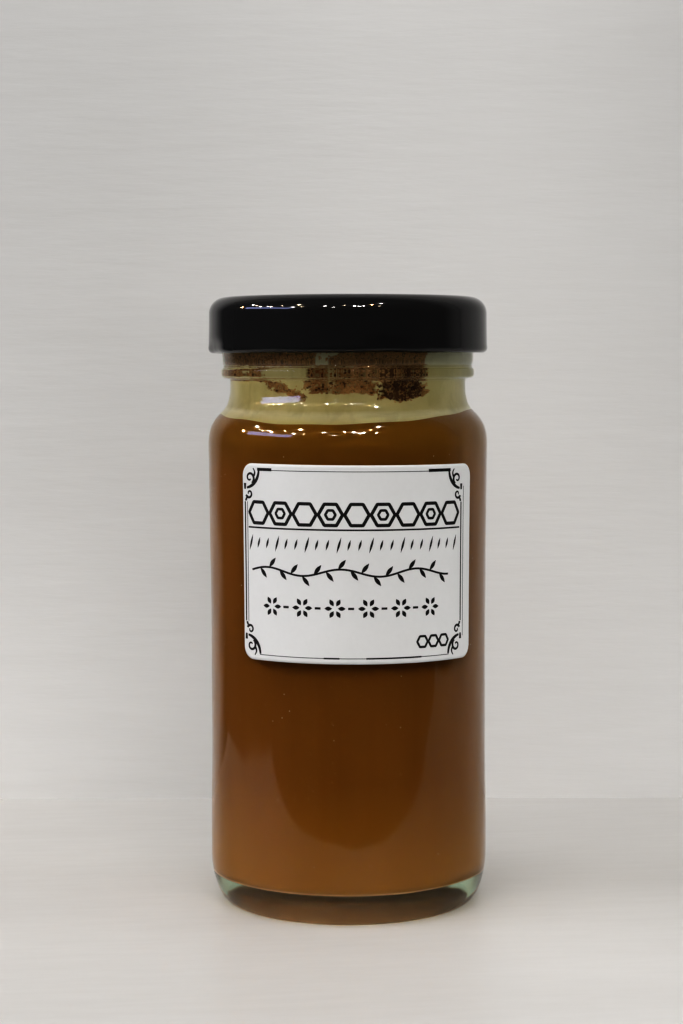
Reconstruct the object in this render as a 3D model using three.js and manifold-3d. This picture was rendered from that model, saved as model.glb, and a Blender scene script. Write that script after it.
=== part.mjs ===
// A small round glass jar of creamed honey, closed with a black twist-off lid, with a paper label.
// Millimetres, +Z up. The origin is the centre of the base, and the label faces -Y.
// Angles round the jar are in degrees, counted from the front (-Y) towards +X.
import * as THREE from "three";
import Module from "manifold-3d";
import { mergeVertices } from "three/addons/utils/BufferGeometryUtils.js";

const wasm = await Module();
wasm.setup();

const { degToRad, clamp, smoothstep, lerp } = THREE.MathUtils;
const point = (r, z) => new THREE.Vector2(r, z);

// Body of the glass: a straight wall with a faint waist between the heel band and the shoulder band
const BODY_RADIUS = 22.25;
const HEEL_RADIUS = 22.13;
const WAIST_RADIUS = 21.97;
const HEEL_BAND_TOP = 11;
const WAIST_LOW = 28;
const WAIST_HIGH = 36;
const SHOULDER_BOTTOM = 74;
const WALL = 2.4;

// Base: a flat ring to stand on, a heel that curves up from it, and a hollow with a steep edge
const CONTACT_INNER = 17.2;
const CONTACT_OUTER = 18.9;
const HEEL_HEIGHT = 8;
const PUSH_UP = 3.6;
const HOLLOW_POWER = 8;
const FLOOR_EDGE = 5;
const FLOOR_CENTRE = 5.6;
const FLOOR_CORNER = 1.9;

// Shoulder and neck: an arc that bulges, then one that hollows, tangent to each other
const NECK_RADIUS = 18.76;
const SHOULDER_ARC = 5.93;
const NECK_ARC = 4.17;
const INNER_NECK_RADIUS = 16.6;
const INNER_SHOULDER_BOTTOM = 73.2;
const INNER_SHOULDER_ARC = 4.4;
const INNER_NECK_ARC = 5.2;

// Finish: the ring under the lid, the wall that carries the threads, and the rim
const RING_BOTTOM = 83.6;
const RING_TOP = 85.6;
const RING_RADIUS = 20.15;
const FINISH_RADIUS = 20;
const BORE_RADIUS = 17.1;
const RIM_TOP = 96;
const LIP_ARC = 1;
const THREADS = 4;
const THREAD_SPAN = 52;
const THREAD_DEPTH = 0.8;
const THREAD_HEIGHT = 1.6;
const THREAD_LOW = 90.3;
const THREAD_RISE = 1.2;
const THREAD_ROOT = 0.3;

// Lid: pressed tinplate with a sunk panel, a rolled rim and four lugs pushed in at the rim
const LID_TOP = 96.7;
const LID_RADIUS = 22.12;
const LID_RIM_RADIUS = 22.3;
const LID_CORNER = 2.6;
const LID_BOTTOM = 87.85;
const LID_WALL = 0.3;
const PANEL_RADIUS = 16.6;
const PANEL_STEP = 0.7;
const PANEL_DEPTH = 0.55;
const ROLL_RADIUS = 0.65;
const LUGS = 4;
const FIRST_LUG = 10.75;
const LUG_HALF_WIDTH = 15;
const LUG_DEPTH = 0.6;
const LUG_LIFT = 0.12;
const LUG_FADE = 1.6;

// Contents, with a thin gap to the glass and between the two layers
const FIT_GAP = 0.3;
const HONEY_TOP = 76.5;
const HONEY_RISE = 1.2;
const FOAM_TOP = 89.2;
const FOAM_DOME = 0.35;
const TOP_GRAINS = 38;
const SIDE_GRAINS = 38;
const GRAIN_SIZE = 0.62;

// Label: a sheet of paper wrapped on the wall
const LABEL_WIDTH = 40.4;
const LABEL_BOTTOM = 40.8;
const LABEL_TOP = 70.95;
const LABEL_CORNER = 2;
const LABEL_GAP = 0.1;
const LABEL_THICKNESS = 0.15;
const LABEL_TILT = 0.4;

// How finely the round pieces are cut
const GLASS_SEGMENTS = 56;
const LID_SEGMENTS = 72;
const FILL_SEGMENTS = 40;

// An elliptical arc of points round a centre; 0 degrees points outwards and 90 degrees up.
function arc(centre, radiusOut, radiusUp, from, to, steps) {
  return Array.from({ length: steps + 1 }, (_, i) => {
    const angle = degToRad(lerp(from, to, i / steps));
    return point(
      centre.x + radiusOut * Math.cos(angle),
      centre.y + radiusUp * Math.sin(angle),
    );
  });
}

// Outer radius of the body at a height.
function bodyRadius(z) {
  const low = 1 - smoothstep(z, HEEL_BAND_TOP, WAIST_LOW);
  const high = clamp((z - WAIST_HIGH) / (SHOULDER_BOTTOM - WAIST_HIGH), 0, 1);
  return (
    WAIST_RADIUS +
    (HEEL_RADIUS - WAIST_RADIUS) * low +
    (BODY_RADIUS - WAIST_RADIUS) * high ** 2
  );
}

// From a vertical wall in to a narrower one, by a bulging arc and a hollow one that meet on a tangent.
function shoulder(wideRadius, narrowRadius, bottom, bulge, hollow) {
  const tangent = Math.acos(1 - (wideRadius - narrowRadius) / (bulge + hollow));
  const degrees = THREE.MathUtils.radToDeg(tangent);
  const top = bottom + (bulge + hollow) * Math.sin(tangent);
  const lower = arc(point(wideRadius - bulge, bottom), bulge, bulge, 0, degrees, 4);
  const upper = arc(
    point(narrowRadius + hollow, top),
    hollow,
    hollow,
    180 + degrees,
    180,
    3,
  );
  return [...lower, ...upper.slice(1)];
}

// Turns a profile of points (radius, height) about the Z axis.
function turned(profile, segments) {
  return new THREE.LatheGeometry(profile, segments).rotateX(Math.PI / 2);
}

// Moves each vertex of a geometry by a function that takes and returns (front angle, radius, height).
function reshaped(geometry, move) {
  const position = geometry.getAttribute("position");
  for (let i = 0; i < position.count; i++) {
    const x = position.getX(i);
    const y = position.getY(i);
    const [angle, radius, z] = move(
      Math.atan2(x, -y),
      Math.hypot(x, y),
      position.getZ(i),
    );
    position.setXYZ(i, radius * Math.sin(angle), -radius * Math.cos(angle), z);
  }
  return geometry;
}

function toSolid(geometry) {
  const bare = geometry.index ? geometry.toNonIndexed() : geometry.clone();
  bare.deleteAttribute("normal");
  bare.deleteAttribute("uv");
  const merged = mergeVertices(bare, 1e-4);
  return new wasm.Manifold(
    new wasm.Mesh({
      numProp: 3,
      vertProperties: merged.attributes.position.array,
      triVerts: new Uint32Array(merged.index.array),
    }),
  );
}

function toGeometry(solid) {
  const mesh = solid.getMesh();
  return new THREE.BufferGeometry()
    .setAttribute("position", new THREE.BufferAttribute(mesh.vertProperties, 3))
    .setIndex(new THREE.BufferAttribute(mesh.triVerts, 1));
}

function piece(name, geometry, colour, roughness, metalness = 0) {
  geometry.computeVertexNormals();
  const material = new THREE.MeshStandardMaterial({
    color: colour,
    roughness,
    metalness,
  });
  const mesh = new THREE.Mesh(geometry, material);
  mesh.name = name;
  return mesh;
}

// Inside of the glass, from the middle of the floor up to the bore.
function cavityProfile() {
  const innerRadius = bodyRadius(FLOOR_EDGE + FLOOR_CORNER) - WALL;
  const corner = point(innerRadius - FLOOR_CORNER, FLOOR_EDGE + FLOOR_CORNER);
  const rows = [24, 44, 60];
  return [
    point(0, FLOOR_CENTRE),
    ...arc(corner, FLOOR_CORNER, FLOOR_CORNER, -90, 0, 3),
    ...rows.map((z) => point(bodyRadius(z) - WALL, z)),
    ...shoulder(
      BODY_RADIUS - WALL,
      INNER_NECK_RADIUS,
      INNER_SHOULDER_BOTTOM,
      INNER_SHOULDER_ARC,
      INNER_NECK_ARC,
    ),
    point(BORE_RADIUS, RING_TOP),
    point(BORE_RADIUS, RIM_TOP - LIP_ARC),
  ];
}

const cavity = cavityProfile();

// Radius of the cavity at a height.
function cavityRadius(z) {
  const above = cavity.findIndex((p, i) => i > 1 && p.y >= z);
  const [low, high] = [cavity[above - 1], cavity[above]];
  return lerp(low.x, high.x, (z - low.y) / (high.y - low.y));
}

// Outside of the glass, from the middle of the base up to the rim.
function outerProfile() {
  const heel = point(CONTACT_OUTER, HEEL_HEIGHT);
  const ringEdge = 0.3;
  const hollow = [0, 0.6, 0.8, 0.9, 1].map((share) =>
    point(CONTACT_INNER * share, PUSH_UP * (1 - share ** HOLLOW_POWER)),
  );
  return [
    ...hollow,
    ...arc(heel, HEEL_RADIUS - CONTACT_OUTER, HEEL_HEIGHT, -90, 0, 6),
    ...[14, 21, 28, 44, 56, 66].map((z) => point(bodyRadius(z), z)),
    ...shoulder(BODY_RADIUS, NECK_RADIUS, SHOULDER_BOTTOM, SHOULDER_ARC, NECK_ARC),
    point(NECK_RADIUS, RING_BOTTOM),
    point(RING_RADIUS - ringEdge, RING_BOTTOM + ringEdge),
    point(RING_RADIUS, RING_BOTTOM + 2 * ringEdge),
    point(RING_RADIUS, RING_TOP - ringEdge),
    point(FINISH_RADIUS, RING_TOP),
    ...arc(point(FINISH_RADIUS - LIP_ARC, RIM_TOP - LIP_ARC), LIP_ARC, LIP_ARC, 0, 90, 2),
  ];
}

// One thread: a low ridge that climbs part of the way round the finish and fades at its ends.
// The box is laid along the wall from its far end, so that its faces still point outwards.
function threadRidge(startAngle) {
  const steps = 8;
  const ridge = new THREE.BoxGeometry(1, 1, 1, steps, 1, 1);
  const position = ridge.getAttribute("position");
  for (let i = 0; i < position.count; i++) {
    const along = -position.getX(i);
    const out = position.getY(i) + 0.5;
    const angle = degToRad(startAngle + THREAD_SPAN * along);
    const fade = 1 - 0.8 * (2 * along) ** 4;
    const radius = FINISH_RADIUS - THREAD_ROOT + out * (THREAD_ROOT + THREAD_DEPTH * fade);
    const height = position.getZ(i) * THREAD_HEIGHT * (1 - 0.45 * out);
    const z = THREAD_LOW + THREAD_RISE * (along + 0.5) + height;
    position.setXYZ(i, radius * Math.sin(angle), -radius * Math.cos(angle), z);
  }
  return toSolid(ridge);
}

function glassJar() {
  const lip = arc(point(BORE_RADIUS + LIP_ARC, RIM_TOP - LIP_ARC), LIP_ARC, LIP_ARC, 90, 180, 2);
  const inside = [...cavity].reverse().slice(1);
  const profile = [...outerProfile(), ...lip, ...inside];
  const threads = Array.from({ length: THREADS }, (_, i) =>
    threadRidge(FIRST_LUG + 45 + (i * 360) / THREADS),
  );
  const blown = toSolid(turned(profile, GLASS_SEGMENTS));
  return toGeometry(threads.reduce((glass, thread) => glass.add(thread), blown));
}

// 1 in the middle of a lug, falling smoothly to 0 at its sides.
function lugShare(angle) {
  const pitch = 360 / LUGS;
  const degrees = THREE.MathUtils.radToDeg(angle) - FIRST_LUG;
  const offset = THREE.MathUtils.euclideanModulo(degrees + pitch / 2, pitch) - pitch / 2;
  return 1 - smoothstep(Math.abs(offset), 0, LUG_HALF_WIDTH);
}

function twistLid() {
  const corner = point(LID_RADIUS - LID_CORNER, LID_TOP - LID_CORNER);
  const roll = point(LID_RIM_RADIUS - ROLL_RADIUS, LID_BOTTOM + ROLL_RADIUS);
  const panel = LID_TOP - PANEL_DEPTH;
  const inner = LID_CORNER - LID_WALL;
  const profile = [
    point(0, panel - LID_WALL),
    point(PANEL_RADIUS + LID_WALL, panel - LID_WALL),
    point(PANEL_RADIUS + PANEL_STEP + LID_WALL, LID_TOP - LID_WALL),
    ...arc(corner, inner, inner, 90, 0, 3),
    point(LID_RADIUS - LID_WALL, LID_BOTTOM + 2 * ROLL_RADIUS + 0.2),
    ...arc(roll, ROLL_RADIUS, ROLL_RADIUS, -240, 0, 6),
    point(LID_RADIUS + 0.1, LID_BOTTOM + 2.2),
    ...arc(corner, LID_CORNER, LID_CORNER, 0, 90, 5),
    point(PANEL_RADIUS + PANEL_STEP, LID_TOP),
    point(PANEL_RADIUS, panel),
    point(0, panel),
  ];
  return reshaped(turned(profile, LID_SEGMENTS), (angle, radius, z) => {
    const low = 1 - smoothstep(z, LID_BOTTOM + LUG_FADE * 0.6, LID_BOTTOM + LUG_FADE * 1.6);
    const push = lugShare(angle) * low;
    return [angle, radius - LUG_DEPTH * push, z + LUG_LIFT * push];
  });
}

// Height of the surface between honey and foam: level, and lifted towards the right-hand side.
function layerHeight(angle, radius) {
  const right = radius * Math.sin(angle);
  return HONEY_TOP + HONEY_RISE * smoothstep(right, 4, 19);
}

function honeyFill() {
  const gap = FIT_GAP;
  const floor = arc(
    point(cavityRadius(FLOOR_EDGE + FLOOR_CORNER) - FLOOR_CORNER, FLOOR_EDGE + FLOOR_CORNER),
    FLOOR_CORNER - gap,
    FLOOR_CORNER - gap,
    -90,
    0,
    3,
  );
  const walls = [22, 44, 65, 73.5, 75.2].map((z) => point(cavityRadius(z) - gap, z));
  const edge = cavityRadius(HONEY_TOP) - gap;
  const top = [1, 0.75, 0.5, 0.25, 0].map((share) => point(edge * share, HONEY_TOP));
  const profile = [point(0, FLOOR_CENTRE + gap), ...floor, ...walls, ...top];
  return reshaped(turned(profile, FILL_SEGMENTS), (angle, radius, z) => {
    if (z < HONEY_TOP - 0.01) return [angle, radius, z];
    const height = layerHeight(angle, radius) - gap / 2;
    return [angle, (cavityRadius(height) - gap) * (radius / edge), height];
  });
}

// A number sequence that is the same on every run.
function seededNumbers(seed) {
  let state = seed;
  return () => {
    state = (state * 1664525 + 1013904223) % 4294967296;
    return state / 4294967296;
  };
}

// One crumb: an uneven lump of twenty faces, at a place given round the jar.
function crumb(random, angle, radius, z, size) {
  const lump = new THREE.IcosahedronGeometry(size, 0);
  lump.scale(0.8 + 0.4 * random(), 0.8 + 0.4 * random(), 0.7 + 0.3 * random());
  lump.rotateX(Math.PI * random());
  lump.rotateZ(Math.PI * random());
  lump.translate(radius * Math.sin(angle), -radius * Math.cos(angle), z);
  return toSolid(lump);
}

// How deep the crumbs reach down the side, as a share of the foam's height, round the jar.
function crumbDepth(angle) {
  const degrees = THREE.MathUtils.radToDeg(angle);
  const front = Math.exp(-(((degrees - 12) / 26) ** 2));
  const left = Math.exp(-(((degrees + 35) / 20) ** 2));
  return 0.12 + 0.5 * Math.max(front, 0.8 * left);
}

function foamFill() {
  const gap = FIT_GAP;
  const walls = [78.2, 79.5, 81, 82.5, 84, 86, FOAM_TOP - 0.6];
  const edge = cavityRadius(HONEY_TOP) - gap;
  const profile = [
    ...[0, 0.25, 0.5, 0.75, 1].map((share) => point(edge * share, HONEY_TOP)),
    ...walls.map((z) => point(cavityRadius(z) - gap, z)),
    point(BORE_RADIUS - gap - 0.8, FOAM_TOP),
    point(BORE_RADIUS * 0.5, FOAM_TOP + FOAM_DOME * 0.8),
    point(0, FOAM_TOP + FOAM_DOME),
  ];
  const core = reshaped(turned(profile, FILL_SEGMENTS), (angle, radius, z) => {
    if (z > HONEY_TOP + 0.01) return [angle, radius, z];
    const height = layerHeight(angle, radius) + gap / 2;
    return [angle, (cavityRadius(height) - gap) * (radius / edge), height];
  });
  const random = seededNumbers(43);
  const crumbs = [];
  const reach = BORE_RADIUS - gap - GRAIN_SIZE * 1.5;
  for (let i = 0; i < TOP_GRAINS; i++) {
    const angle = i * 2.39996 + 0.4 * random();
    const radius = reach * Math.sqrt((i + 0.5) / TOP_GRAINS);
    const size = GRAIN_SIZE * (0.85 + 0.5 * random());
    crumbs.push(crumb(random, angle, radius, FOAM_TOP + 0.1, size));
  }
  for (let i = 0; i < SIDE_GRAINS; i++) {
    const angle = degToRad(-75 + 125 * random());
    const depth = crumbDepth(angle) * random();
    const z = FOAM_TOP - 1 - depth * (FOAM_TOP - HONEY_TOP - 2);
    const size = GRAIN_SIZE * (0.8 + 0.4 * random());
    const radius = cavityRadius(z + size) - gap - size;
    crumbs.push(crumb(random, angle, radius, z, size));
  }
  return toGeometry(wasm.Manifold.union([toSolid(core), ...crumbs]));
}

// Half the height of the label at a distance from its middle: full, then rounded off at the corners.
function labelHalfHeight(along) {
  const half = (LABEL_TOP - LABEL_BOTTOM) / 2;
  const into = Math.max(0, Math.abs(along) - (LABEL_WIDTH / 2 - LABEL_CORNER));
  return half - LABEL_CORNER + Math.sqrt(Math.max(0, LABEL_CORNER ** 2 - into ** 2));
}

function paperLabel() {
  const flat = LABEL_WIDTH / 2 - LABEL_CORNER;
  const corner = [90, 60, 30, 0].map((d) => flat + LABEL_CORNER * Math.sin(degToRad(d)));
  const middle = Array.from({ length: 15 }, (_, i) => flat * (1 - (2 * (i + 1)) / 16));
  const columns = [...corner, ...middle, ...[...corner].reverse().map((x) => -x)].reverse();
  const rows = [-1, -0.6, -0.2, 0.2, 0.6, 1];
  const centre = (LABEL_TOP + LABEL_BOTTOM) / 2;
  const positions = [];
  for (const lift of [LABEL_GAP + LABEL_THICKNESS, LABEL_GAP])
    for (const along of columns)
      for (const share of rows) {
        const up = share * labelHalfHeight(along);
        const z = centre + up - along * Math.tan(degToRad(LABEL_TILT));
        const radius = bodyRadius(z) + lift;
        const angle = along / BODY_RADIUS;
        positions.push(radius * Math.sin(angle), -radius * Math.cos(angle), z);
      }
  const index = [];
  const last = columns.length - 1;
  const top = rows.length - 1;
  const at = (side, column, row) => (side * columns.length + column) * rows.length + row;
  const face = (a, b, c, d) => index.push(a, b, c, a, c, d);
  for (let c = 0; c < last; c++) {
    for (let r = 0; r < top; r++) {
      face(at(0, c, r), at(0, c + 1, r), at(0, c + 1, r + 1), at(0, c, r + 1));
      face(at(1, c, r), at(1, c, r + 1), at(1, c + 1, r + 1), at(1, c + 1, r));
    }
    face(at(1, c, 0), at(1, c + 1, 0), at(0, c + 1, 0), at(0, c, 0));
    face(at(0, c, top), at(0, c + 1, top), at(1, c + 1, top), at(1, c, top));
  }
  for (let r = 0; r < top; r++) {
    face(at(1, 0, r), at(0, 0, r), at(0, 0, r + 1), at(1, 0, r + 1));
    face(at(0, last, r), at(1, last, r), at(1, last, r + 1), at(0, last, r + 1));
  }
  return new THREE.BufferGeometry()
    .setAttribute("position", new THREE.Float32BufferAttribute(positions, 3))
    .setIndex(index);
}

const jar = new THREE.Group();
jar.name = "honey_jar";
jar.add(
  piece("glass_jar", glassJar(), 0xdfe8df, 0.05),
  piece("twist_lid", twistLid(), 0x0a0a0a, 0.2, 0.2),
  piece("honey", honeyFill(), 0x6b3d0c, 0.4),
  piece("foam_with_crumbs", foamFill(), 0xa8975f, 0.6),
  piece("paper_label", paperLabel(), 0xf2f1ef, 0.6),
);
export default jar;
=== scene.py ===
import bpy
import numpy as np
from mathutils import Matrix, Vector


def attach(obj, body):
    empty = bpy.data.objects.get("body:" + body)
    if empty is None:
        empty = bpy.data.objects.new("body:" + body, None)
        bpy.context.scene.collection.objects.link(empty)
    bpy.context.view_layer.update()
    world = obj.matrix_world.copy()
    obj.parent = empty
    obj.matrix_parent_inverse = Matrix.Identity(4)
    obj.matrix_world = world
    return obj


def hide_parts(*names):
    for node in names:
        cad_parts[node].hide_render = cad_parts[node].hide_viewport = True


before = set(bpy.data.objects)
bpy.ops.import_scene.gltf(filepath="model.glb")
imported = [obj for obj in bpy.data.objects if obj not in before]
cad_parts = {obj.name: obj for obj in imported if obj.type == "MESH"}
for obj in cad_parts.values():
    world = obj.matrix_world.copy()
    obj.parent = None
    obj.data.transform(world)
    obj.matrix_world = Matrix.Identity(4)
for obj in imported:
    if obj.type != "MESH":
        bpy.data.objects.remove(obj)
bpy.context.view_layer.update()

scene = bpy.context.scene
mm = 0.001
labelTurn = 5.75  # degrees from the camera's line to the middle of the label
print("frame loaded")


# ---- general helpers

def smoothStep(x, low, high):
    # 0 below low, 1 above high, and 3t^2 - 2t^3 between them
    t = np.clip((x - low) / (high - low), 0.0, 1.0)
    return t * t * (3 - 2 * t)


def bell(x, middle, width):
    # e to the minus ((x - middle) / width) squared
    return np.exp(-(((x - middle) / width) ** 2))


def columns(*values):
    # arrays or numbers side by side, one row for each point
    return np.stack(np.broadcast_arrays(*values), axis=-1)


def arc(centre, reachOut, reachUp, start, end, count):
    # points on an ellipse round a centre: 0 degrees points outwards, 90 degrees up
    a = np.radians(np.linspace(start, end, count))
    return columns(centre[0] + reachOut * np.cos(a), centre[1] + reachUp * np.sin(a))


def chain(*parts):
    # joins pieces of a profile and drops points that repeat
    path = np.concatenate([np.atleast_2d(p) for p in parts])
    step = np.linalg.norm(np.diff(path, axis=0), axis=1)
    return path[np.concatenate([[True], step > 1e-6])]


def spread(path, spacing):
    # the same path with points at even steps, counted along its length
    length = np.concatenate([[0], np.cumsum(np.linalg.norm(np.diff(path, axis=0), axis=1))])
    at = np.linspace(0, length[-1], max(2, int(round(length[-1] / spacing)) + 1))
    return columns(*[np.interp(at, length, values) for values in path.T])


def roundPoint(radius, angle, z):
    # a point at that radius and height, at an angle in radians from the front (-Y) towards +X
    return columns(radius * np.sin(angle), -radius * np.cos(angle), z)


def ringAngles(count):
    return np.linspace(0, 2 * np.pi, count, endpoint=False)


def addObject(name, data):
    thing = bpy.data.objects.new(name, data)
    scene.collection.objects.link(thing)
    return thing


def makePiece(name, vertices, material, slot, quads=(), triangles=(), stands=(), smooth=True):
    # a mesh from points in mm: with a slot it is part of the jar, without one part of the stage
    mesh = bpy.data.meshes.new(name)
    corners = np.concatenate([np.ravel(quads), np.ravel(triangles)]).astype(np.int32)
    sizes = np.concatenate([np.full(len(quads), 4), np.full(len(triangles), 3)])
    mesh.vertices.add(len(vertices))
    mesh.vertices.foreach_set("co", (np.asarray(vertices) * mm).astype(np.float32).ravel())
    mesh.loops.add(len(corners))
    mesh.loops.foreach_set("vertex_index", corners)
    mesh.polygons.add(len(sizes))
    mesh.polygons.foreach_set("loop_start", (np.cumsum(sizes) - sizes).astype(np.int32))
    mesh.polygons.foreach_set("use_smooth", np.full(len(sizes), smooth))
    mesh.update(calc_edges=True)
    mesh.materials.append(material)
    piece = addObject(name, mesh)
    if slot is None:
        return piece
    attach(piece, "root")
    if stands:
        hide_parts(*stands)
    return piece


def gridQuads(rows, across, closed=True):
    # quads of a grid of rows with points across; when closed, the last point of a row joins its first
    i, j = np.meshgrid(np.arange(rows - 1), np.arange(across - (not closed)), indexing="ij")
    k = (j + 1) % across
    low, high = i * across, (i + 1) * across
    return columns(low + j, low + k, high + k, high + j).reshape(-1, 4)


def turnedPiece(name, grid, poles, material, slot, stands):
    # a grid of rows that close round the axis, with a fan to a pole at each end
    rows, across = grid.shape[:2]
    vertices = np.concatenate([grid.reshape(-1, 3), np.asarray(poles, float)])
    j = np.arange(across)
    k, last, pole = (j + 1) % across, (rows - 1) * across, rows * across
    fans = np.concatenate([columns(pole, k, j), columns(pole + 1, last + j, last + k)])
    return makePiece(name, vertices, material, slot, gridQuads(rows, across), fans, stands)


def addAttribute(piece, name, values):
    layer = piece.data.attributes.new(name, "FLOAT", "POINT")
    layer.data.foreach_set("value", np.asarray(values, np.float32).ravel())


# ---- materials

class Wire:
    # a shader socket that can be added, subtracted and multiplied
    def __init__(self, socket):
        self.socket = socket

    def node(self, kind, settings=None, inputs=None, output=0):
        return addNode(self.socket.node.id_data, kind, settings, inputs, output)

    def maths(self, operation, *values):
        return self.node("Math", {"operation": operation}, dict(enumerate(values)))

    def __add__(self, other):
        return self.maths("ADD", self, other)

    def __sub__(self, other):
        return self.maths("SUBTRACT", self, other)

    def __mul__(self, other):
        return self.maths("MULTIPLY", self, other)

    def __rsub__(self, other):
        return self.maths("SUBTRACT", other, self)

    def __abs__(self):
        return self.maths("ABSOLUTE", self)

    __radd__ = __add__
    __rmul__ = __mul__


def addNode(tree, kind, settings=None, inputs=None, output=0):
    # settings are set first, "stops" fill a colour ramp, then sockets get values or wires
    node = tree.nodes.new("ShaderNode" + kind)
    for key, value in (settings or {}).items():
        if key != "stops":
            setattr(node, key, value)
            continue
        stops = node.color_ramp.elements
        while len(stops) < len(value):
            stops.new(0.5)
        for stop, (place, shade) in zip(stops, value):
            stop.position, stop.color = place, (*shade, 1.0)
    for key, value in (inputs or {}).items():
        if isinstance(value, Wire):
            tree.links.new(value.socket, node.inputs[key])
        elif node.inputs[key].type == "RGBA":
            node.inputs[key].default_value = (*value, 1.0)
        else:
            node.inputs[key].default_value = value
    return Wire(node.outputs[output]) if node.outputs else None


def newMaterial(name):
    # object coordinates in metres, with the empty material that they belong to
    material = bpy.data.materials.new(name)
    material.use_nodes = True
    material.node_tree.nodes.clear()
    place = addNode(material.node_tree, "TexCoord", output="Object")
    place.material = material
    return place


def finishMaterial(place, surface, **volume):
    surface.node("OutputMaterial", None, {"Surface": surface, **volume})
    return place.material


def paint(place, colour, roughness, ior, level=0.5, **normal):
    # finishes a plain material; level is the strength of its mirror-like part
    return finishMaterial(place, place.node("BsdfPrincipled", None, {
        "Base Color": colour, "Roughness": roughness, "IOR": ior, "Specular IOR Level": level, **normal}))


def axis(place, name):
    return place.node("SeparateXYZ", None, {"Vector": place}, name)


def attribute(place, name):
    return place.node("Attribute", {"attribute_name": name}, output="Fac")


def fade(value, start, stop, amount=1.0, curve="LINEAR"):
    # 0 at start, the amount at stop, and no more or less outside them
    return value.node("MapRange", {"interpolation_type": curve}, {
        "Value": value, 1: start, 2: stop, 3: 0.0, 4: amount})


def noise(place, scale, detail=3.0, roughness=0.5, distortion=0.0, stretch=None):
    # a 0 to 1 cloud, scale in waves per metre, stretched along an axis if asked
    if stretch is not None:
        place = place.node("Mapping", {"vector_type": "POINT"}, {"Vector": place, "Scale": stretch})
    return place.node("TexNoise", None, {
        "Vector": place, "Scale": scale, "Detail": detail, "Roughness": roughness, "Distortion": distortion}, "Fac")


def ramp(factor, *stops):
    return factor.node("ValToRGB", {"stops": stops}, {"Fac": factor}, "Color")


def mix(factor, first, second):
    return factor.node("Mix", {"data_type": "RGBA"}, {0: factor, 6: first, 7: second}, 2)


def bump(height, strength, distance):
    return height.node("Bump", None, {"Height": height, "Strength": strength, "Distance": distance})


# ---- glass

glassShape = {
    "bodyRadius": 22.25, "heelRadius": 22.13, "waistRadius": 21.97,
    "heelBandTop": 11.0, "waistLow": 28.0, "waistHigh": 36.0, "shoulderBottom": 73.2, "wall": 2.4,
    "pushUp": 3.6, "hollowPower": 8.0, "hollowShift": -0.4, "contactInner": 17.2, "contactOuter": 18.9, "foot": 0.5,
    "heelHeight": 8.0, "floorEdge": 5.0, "floorCentre": 5.6, "floorCorner": 1.9, "neckRadius": 18.76, "neckFoot": 82.15,
    # arcs (radius, new lean) and straights (length, None), from the foot of the neck down to the bulge
    "neckBends": [(5.0, 12.5), (0.7, None), (3.2, 45.0), (0.85, None)],
    "bulgeEnd": 6.0, "bulgeSlack": 2.2, "bodyLean": -0.86,
    "innerNeck": 16.6, "innerShoulderBottom": 73.2, "innerShoulderArc": 4.4, "innerNeckArc": 5.2,
    "ringBottom": 83.6, "ringTop": 85.6, "ringRadius": 20.15, "ringOut": 0.62, "ringUp": 0.55, "fillet": 0.5,
    "finishRadius": 20.0, "boreRadius": 17.1, "rimTop": 96.0, "lip": 1.0,
    "threadCount": 4, "threadSpan": 52.0, "threadDepth": 0.8, "threadHeight": 0.8,
    "threadLow": 90.3, "threadRise": 1.2, "threadZone": (88.2, 94.5), "firstLug": 10.75,
    "segments": 224, "rippleZone": (1.5, 6.0, 80.0, 83.0), "ripple": 0.012, "seamHeight": 0.05, "seamWidth": 0.9,
}

glassLook = {
    # the heel colour is painted shade on the glass's heel at the left and right
    "tones": [(0.955, 0.985, 0.965), (0.975, 0.995, 0.98)], "heel": (0.74, 0.72, 0.58), "shadow": (0.9, 0.93, 0.91),
    "tint": (0.70, 0.80, 0.68), "tintDensity": 60.0, "roughness": 0.055,
}


def bodyRadius(z):
    # heel band, then a faint waist, then a slow widening up to the shoulder
    g = glassShape
    low = 1 - smoothStep(z, g["heelBandTop"], g["waistLow"])
    high = np.clip((z - g["waistHigh"]) / (g["shoulderBottom"] - g["waistHigh"]), 0, 1) ** 2
    waist = g["waistRadius"]
    return waist + (g["heelRadius"] - waist) * low + (g["bodyRadius"] - waist) * high


def shoulderCurve(wide, narrow, bottom, bulge, hollow, count):
    # a bulging arc and a hollow one that meet on a tangent
    turn = np.degrees(np.arccos(1 - (wide - narrow) / (bulge + hollow)))
    top = bottom + (bulge + hollow) * np.sin(np.radians(turn))
    return np.concatenate([
        arc((wide - bulge, bottom), bulge, bulge, 0, turn, count),
        arc((narrow + hollow, top), hollow, hollow, 180 + turn, 180, count)[1:],
    ])


def neckAndShoulder():
    # downwards through the bends, then a bulge that just reaches the body and ends in a slacker arc
    g = glassShape
    lean, place = 0.0, np.array([g["neckRadius"], g["neckFoot"]])
    path = [place[None]]

    def bendTo(radius, newLean):
        nonlocal lean, place
        way = np.sign(newLean - lean)
        a, b = np.radians(np.linspace(lean, newLean, 12)), np.radians(lean)
        part = place + way * radius * columns(np.cos(b) - np.cos(a), np.sin(b) - np.sin(a))
        lean, place = newLean, part[-1]
        path.append(part[1:])

    for size, newLean in g["neckBends"]:
        if newLean is None:
            way = np.array([np.sin(np.radians(lean)), -np.cos(np.radians(lean))])
            part = place + way * size * np.linspace(0, 1, 5)[:, None]
            place = part[-1]
            path.append(part[1:])
        else:
            bendTo(size, newLean)
    end = np.cos(np.radians(g["bulgeEnd"]))
    bulge = (g["bodyRadius"] - place[0]) / (end - np.cos(np.radians(lean)) + g["bulgeSlack"] * (1 - end))
    bendTo(bulge, g["bulgeEnd"])
    bendTo(bulge * g["bulgeSlack"], g["bodyLean"])
    return np.concatenate(path)[::-1]


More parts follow.
